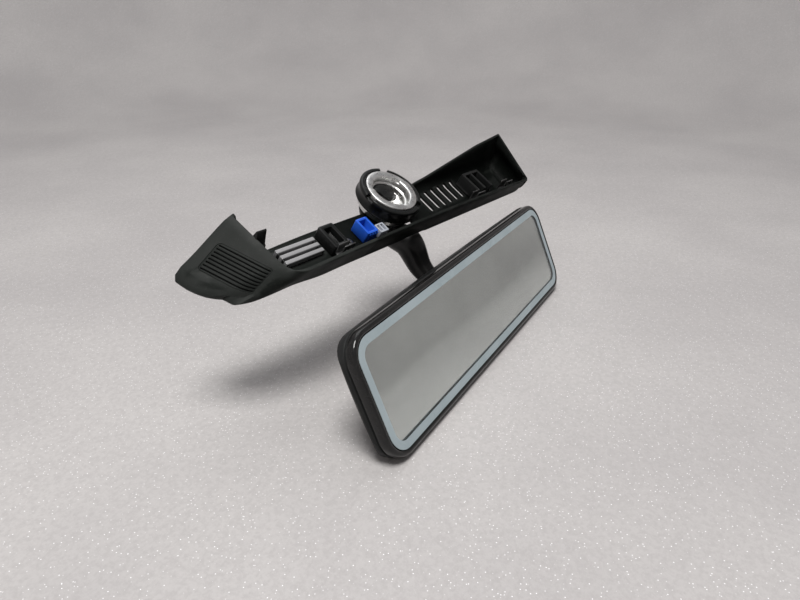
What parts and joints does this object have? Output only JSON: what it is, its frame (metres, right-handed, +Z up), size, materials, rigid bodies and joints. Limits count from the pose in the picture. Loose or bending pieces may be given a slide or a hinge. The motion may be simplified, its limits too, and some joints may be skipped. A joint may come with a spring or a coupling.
{
  "type": "interior rearview mirror",
  "caption": "Interior rearview mirror: a wide mirror head on a ball-jointed arm, with a twist-lock windscreen foot and a long channel cover that hides the foot.",
  "frame": {"origin": "centre of the foot's seat, where the socket meets the windscreen button", "axes": "+X along the mirror's length, towards the slotted end of the cover; -Y is the side the glass faces; +Z up"},
  "size_m": [0.2775, 0.1132, 0.1056],
  "materials": {
    "cast_metal": "as cast",
    "black_plastic": "fine grain",
    "spring_steel": "rolled",
    "dark_steel": "black oxide",
    "plated_screw": "blue-green zinc",
    "black_paint": "satin",
    "polished_steel": "polished",
    "charcoal_plastic": "moulded grain",
    "blue_plastic": "satin",
    "grey_plastic": "satin",
    "nylon": "natural",
    "housing_black": "moulded grain",
    "gloss_black": "polished",
    "clear_glass": "polished",
    "mirror_face": "silvered",
    "border_grey": "smooth",
    "foam": "open cell",
    "board_green": "solder mask"
  },
  "bodies": {
    "mount": {"foot_base": "cast_metal", "foot_ring": "black_plastic", "leaf_spring": "spring_steel", "spring_screws": "dark_steel", "clamp_screw": "plated_screw", "neck_collar": "black_plastic", "stalk_arm": "black_paint", "ball_stud": "polished_steel", "cover_left_half": "charcoal_plastic", "cover_right_half": "charcoal_plastic", "grille_insert": "charcoal_plastic", "left_clip_tower": "black_plastic", "right_clip_bracket": "black_plastic", "metal_clips": "spring_steel", "sensor_bracket": "black_plastic", "blue_connector": "blue_plastic", "grey_connector": "grey_plastic", "cover_screws": "dark_steel", "louvre_insert": "charcoal_plastic"},
    "ball_liner": {"socket_liner": "nylon"},
    "ball_ring": {"pressure_ring": "spring_steel"},
    "head": {"rear_housing": "housing_black", "front_bezel": "gloss_black", "front_glass": "clear_glass", "mirror_glass": "mirror_face", "border_ring": "border_grey", "carrier_plate": "black_plastic", "foam_pad": "foam", "circuit_board": "board_green", "board_connector": "nylon", "light_sensor_lens": "clear_glass", "socket_plate": "spring_steel", "socket_screws": "dark_steel", "socket_cup": "nylon", "housing_collar": "housing_black"}
  },
  "joints": [
    {"name": "head_yaw", "type": "hinge", "parent": "mount", "child": "ball_liner", "pos_m": [0, -0.03889, -0.0629], "axis": [0, 0, 1], "range_deg": [-9, 5]},
    {"name": "head_pitch", "type": "hinge", "parent": "ball_liner", "child": "ball_ring", "pos_m": [0, -0.03889, -0.0629], "axis": [1, 0, 0], "range_deg": [-8, 14]},
    {"name": "head_roll", "type": "hinge", "parent": "ball_ring", "child": "head", "pos_m": [0, -0.03889, -0.0629], "axis": [0, 0.9135, -0.4067], "range_deg": [-2, 7]}
  ]
}
